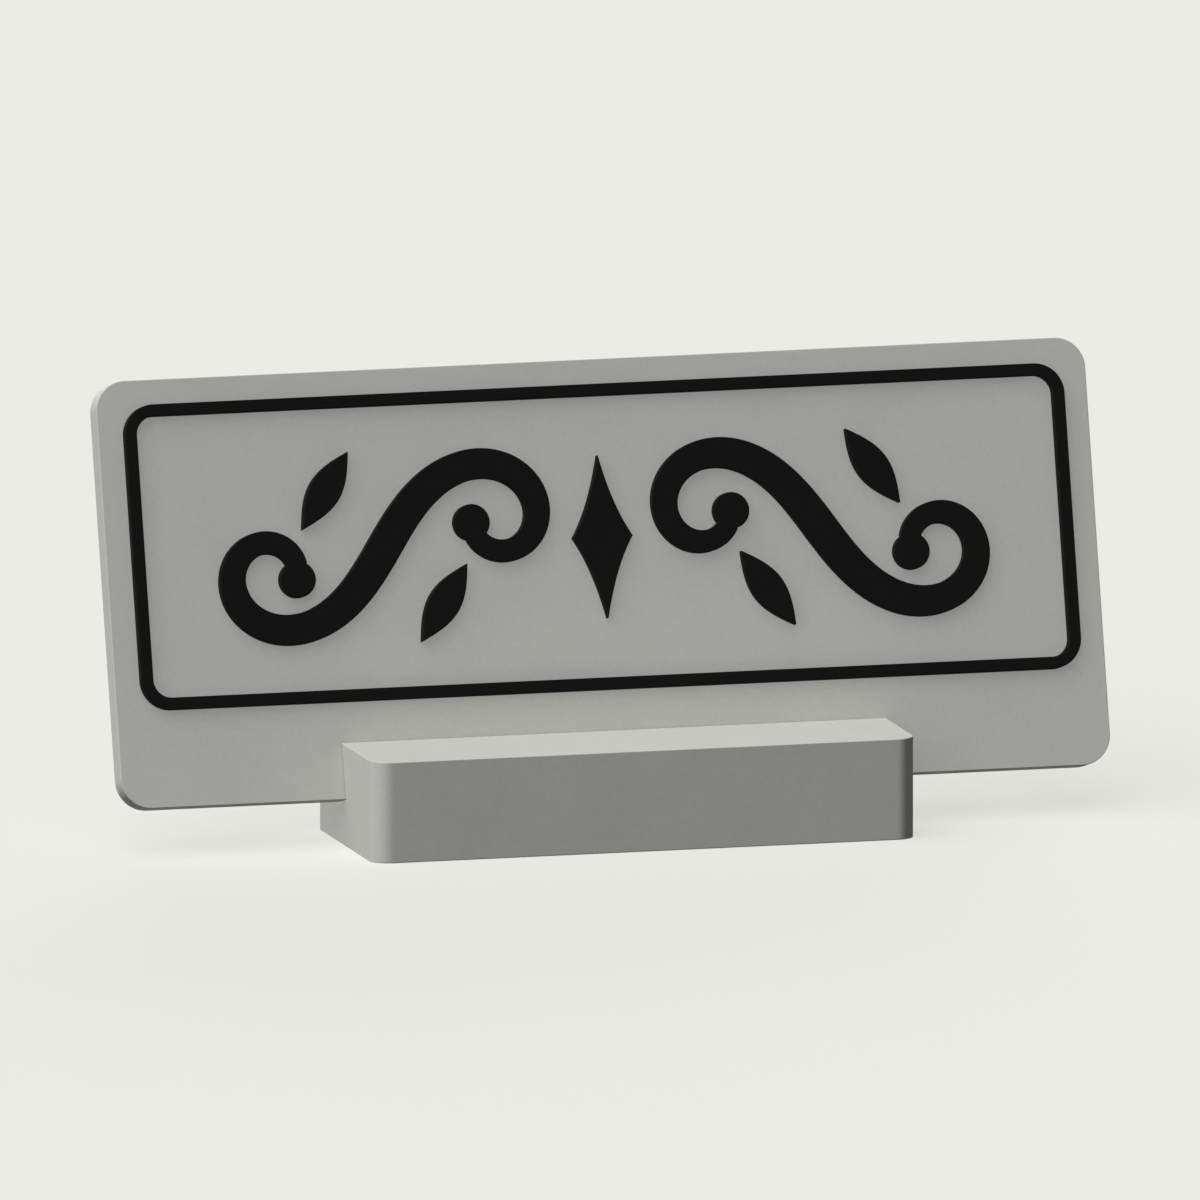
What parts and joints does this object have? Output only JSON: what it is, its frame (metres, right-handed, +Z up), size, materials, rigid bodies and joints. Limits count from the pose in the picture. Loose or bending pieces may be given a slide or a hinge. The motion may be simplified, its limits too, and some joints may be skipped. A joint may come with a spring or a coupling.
{
  "type": "place card",
  "caption": "Thin rounded plate with a raised border and scroll ornament, leaning back in the slot of a low block stand.",
  "frame": {"origin": "centre of the stand's flat underside", "axes": "+X along the card, to the right of someone facing its front; +Y from the front to the back, the way the card leans; +Z up"},
  "size_m": [0.1, 0.0239, 0.0452],
  "materials": {
    "grey_plastic": "fine matte, plain mid grey",
    "black_plastic": "fine matte, near black"
  },
  "bodies": {
    "stand": {"stand": "grey_plastic"},
    "card": {"card_plate": "grey_plastic", "border_frame": "black_plastic", "centre_lozenge": "black_plastic", "scroll_left": "black_plastic", "scroll_right": "black_plastic", "leaf_upper_left": "black_plastic", "leaf_upper_right": "black_plastic", "leaf_lower_left": "black_plastic", "leaf_lower_right": "black_plastic"}
  },
  "joints": [
    {"name": "card_lift", "type": "slide", "parent": "stand", "child": "card", "axis": [0, 0.2588, 0.9659], "range_m": [0, 0.01]}
  ]
}
